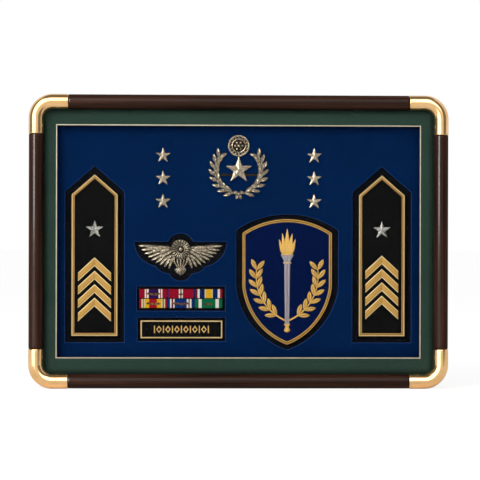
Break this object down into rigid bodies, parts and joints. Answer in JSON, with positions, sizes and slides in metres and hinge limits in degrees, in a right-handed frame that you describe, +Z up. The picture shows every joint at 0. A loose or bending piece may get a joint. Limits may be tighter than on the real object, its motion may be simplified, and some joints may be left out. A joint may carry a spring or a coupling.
{
  "type": "badge display case",
  "caption": "Framed glass-fronted display case for badges, with rounded brass corners, a two-level suede mount, turn buttons and hanging rings.",
  "frame": {"origin": "centre of the underside of the case, on the surface it stands on", "axes": "+X to the right seen from the front, +Y from the glass to the back, +Z up"},
  "size_m": [0.446, 0.0446, 0.312],
  "materials": {
    "walnut": "satin lacquer",
    "polished_brass": "polished",
    "beech": "bare",
    "brass_screw": "polished",
    "glass": "clear",
    "green_suede": "suede",
    "gilt_fillet": "pale gilt",
    "foam_board": "matt",
    "blue_suede": "suede",
    "black_card": "matt",
    "hardboard": "black painted hardboard",
    "turn_button_brass": "satin",
    "plated_steel": "plated",
    "rubber": "matt",
    "antique_brass": "antiqued",
    "clutch_brass": "satin",
    "ribbon_weave": "woven stripes",
    "black_cloth": "wool barathea",
    "gold_thread": "embroidered",
    "blue_embroidery": "embroidered twill",
    "metal_thread": "embroidered",
    "silver_thread": "embroidered"
  },
  "bodies": {
    "case": {"back_panel": "hardboard", "backing_card": "black_card", "board_braid_left": "gold_thread", "board_braid_right": "gold_thread", "board_star_left": "silver_thread", "board_star_right": "silver_thread", "button_screws": "plated_steel", "chevrons_left": "gold_thread", "chevrons_right": "gold_thread", "corner_block_bottom_left": "walnut", "corner_block_bottom_right": "walnut", "corner_block_top_left": "walnut", "corner_block_top_right": "walnut", "corner_cap_bottom_left": "polished_brass", "corner_cap_bottom_right": "polished_brass", "corner_cap_top_left": "polished_brass", "corner_cap_top_right": "polished_brass", "corner_dowels": "beech", "corner_screws": "brass_screw", "foam_filler": "foam_board", "glass_pane": "glass", "gold_fillet": "gilt_fillet", "hanger_screws": "plated_steel", "hanger_strap_left": "plated_steel", "hanger_strap_right": "plated_steel", "inner_mat": "blue_suede", "name_plate": "black_cloth", "name_plate_border": "gold_thread", "outer_mat": "green_suede", "pin_clutches": "clutch_brass", "rail_bottom": "walnut", "rail_left": "walnut", "rail_right": "walnut", "rail_top": "walnut", "ribbon_1": "ribbon_weave", "ribbon_2": "ribbon_weave", "ribbon_3": "ribbon_weave", "ribbon_4": "ribbon_weave", "ribbon_5": "ribbon_weave", "ribbon_6": "ribbon_weave", "ribbon_rack": "plated_steel", "riser_strips": "foam_board", "shield_border": "gold_thread", "shield_charge": "metal_thread", "shield_patch": "blue_embroidery", "shoulder_board_left": "black_cloth", "shoulder_board_right": "black_cloth", "star_pins_left": "antique_brass", "star_pins_right": "antique_brass", "wall_bumpers": "rubber", "winged_badge": "antique_brass", "wreath_badge": "antique_brass"},
    "button_1": {"turn_button_1": "turn_button_brass"},
    "button_2": {"turn_button_2": "turn_button_brass"},
    "button_3": {"turn_button_3": "turn_button_brass"},
    "button_4": {"turn_button_4": "turn_button_brass"},
    "button_5": {"turn_button_5": "turn_button_brass"},
    "button_6": {"turn_button_6": "turn_button_brass"},
    "ring_left": {"hanger_ring_left": "plated_steel"},
    "ring_right": {"hanger_ring_right": "plated_steel"}
  },
  "joints": [
    {"name": "button_1_turn", "type": "hinge", "parent": "case", "child": "button_1", "pos_m": [-0.115, 0.0185, 0.30635], "axis": [0, 1, 0], "range_deg": [-90, 90]},
    {"name": "button_2_turn", "type": "hinge", "parent": "case", "child": "button_2", "pos_m": [0.115, 0.0185, 0.30635], "axis": [0, 1, 0], "range_deg": [-90, 90]},
    {"name": "button_3_turn", "type": "hinge", "parent": "case", "child": "button_3", "pos_m": [-0.115, 0.0185, 0.00565], "axis": [0, 1, 0], "range_deg": [-90, 90]},
    {"name": "button_4_turn", "type": "hinge", "parent": "case", "child": "button_4", "pos_m": [0.115, 0.0185, 0.00565], "axis": [0, 1, 0], "range_deg": [-90, 90]},
    {"name": "button_5_turn", "type": "hinge", "parent": "case", "child": "button_5", "pos_m": [-0.21735, 0.0185, 0.156], "axis": [0, 1, 0], "range_deg": [-90, 90]},
    {"name": "button_6_turn", "type": "hinge", "parent": "case", "child": "button_6", "pos_m": [0.21735, 0.0185, 0.156], "axis": [0, 1, 0], "range_deg": [-90, 90]},
    {"name": "ring_left_swing", "type": "hinge", "parent": "case", "child": "ring_left", "pos_m": [-0.21735, 0.02005, 0.236], "axis": [1, 0, 0], "range_deg": [0, 180]},
    {"name": "ring_right_swing", "type": "hinge", "parent": "case", "child": "ring_right", "pos_m": [0.21735, 0.02005, 0.236], "axis": [1, 0, 0], "range_deg": [0, 180]}
  ]
}
